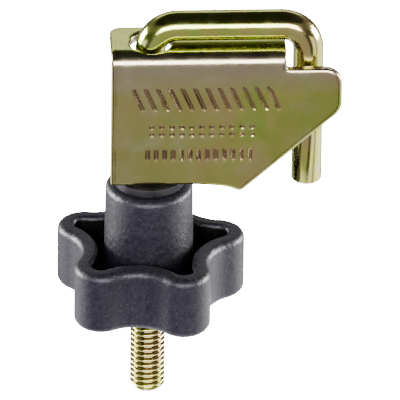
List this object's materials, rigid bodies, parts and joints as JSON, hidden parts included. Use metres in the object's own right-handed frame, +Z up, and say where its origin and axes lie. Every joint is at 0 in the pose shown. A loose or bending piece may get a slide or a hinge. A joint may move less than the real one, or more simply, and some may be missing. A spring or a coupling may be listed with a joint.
{
  "type": "hose pinch clamp",
  "caption": "Wire hook and folded sheet bracket that pinch a rubber hose shut when the star knob on the hook's threaded leg is turned.",
  "frame": {"origin": "middle of the pinch line: on the web's top face, midway between the hook's two legs", "axes": "+Z up out of the web and along the hook's travel, +X from the threaded leg to the plain leg, -Y towards the flange's front face"},
  "size_m": [0.0477, 0.0317, 0.0735],
  "materials": {
    "bracket_zinc": "yellow chromate over zinc, satin",
    "hook_zinc": "yellow chromate over zinc, bright",
    "knob_plastic": "moulded, semi-gloss, finely mottled",
    "insert_brass": "turned",
    "washer_steel": "dark oiled"
  },
  "bodies": {
    "bracket": {"bracket": "bracket_zinc"},
    "washer": {"thrust_washer": "washer_steel"},
    "hook": {"hook_rod": "hook_zinc"},
    "knob": {"star_knob": "knob_plastic", "knob_insert": "insert_brass"}
  },
  "joints": [
    {"name": "hook_swing", "type": "hinge", "parent": "bracket", "child": "washer", "pos_m": [-0.01335, 0, -0.026], "axis": [0, 0, 1], "range_deg": [0, 335]},
    {"name": "hook_travel", "type": "slide", "parent": "washer", "child": "hook", "axis": [0, 0, 1], "range_m": [0, 0.0161]},
    {"name": "knob_turn", "type": "hinge", "parent": "washer", "child": "knob", "pos_m": [-0.01335, 0, -0.04], "axis": [0, 0, 1], "range_deg": [-5760, 0]}
  ],
  "couplings": [
    {"joint": "hook_travel", "follows": "knob_turn", "m_per_rad": -0.00015915}
  ]
}
